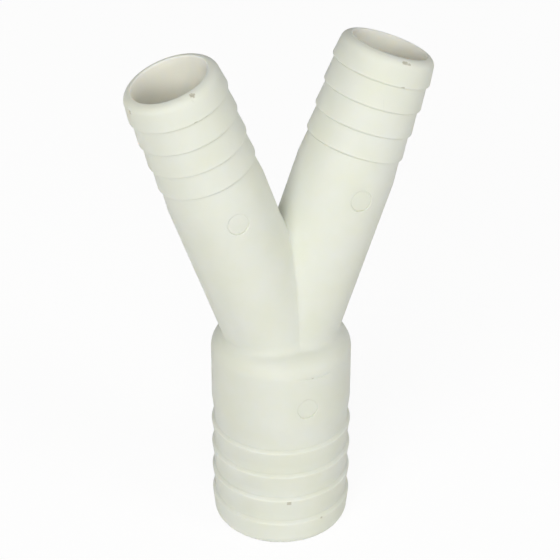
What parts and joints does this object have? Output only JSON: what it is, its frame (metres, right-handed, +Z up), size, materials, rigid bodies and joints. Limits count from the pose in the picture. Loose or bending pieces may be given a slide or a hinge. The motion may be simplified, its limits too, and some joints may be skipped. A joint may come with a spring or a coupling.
{
  "type": "barbed hose y connector",
  "caption": "Moulded plastic Y connector with one large barbed hose leg that branches into two smaller barbed arms.",
  "frame": {"origin": "centre of the bottom rim of the large leg, where the part stands", "axes": "+Z up along the large leg, X across the two arms, the ejector pin marks face -Y"},
  "size_m": [0.0839, 0.0394, 0.1448],
  "materials": {
    "moulded_plastic": "satin moulded natural nylon"
  },
  "bodies": {
    "root": {"connector": "moulded_plastic"}
  },
  "joints": []
}
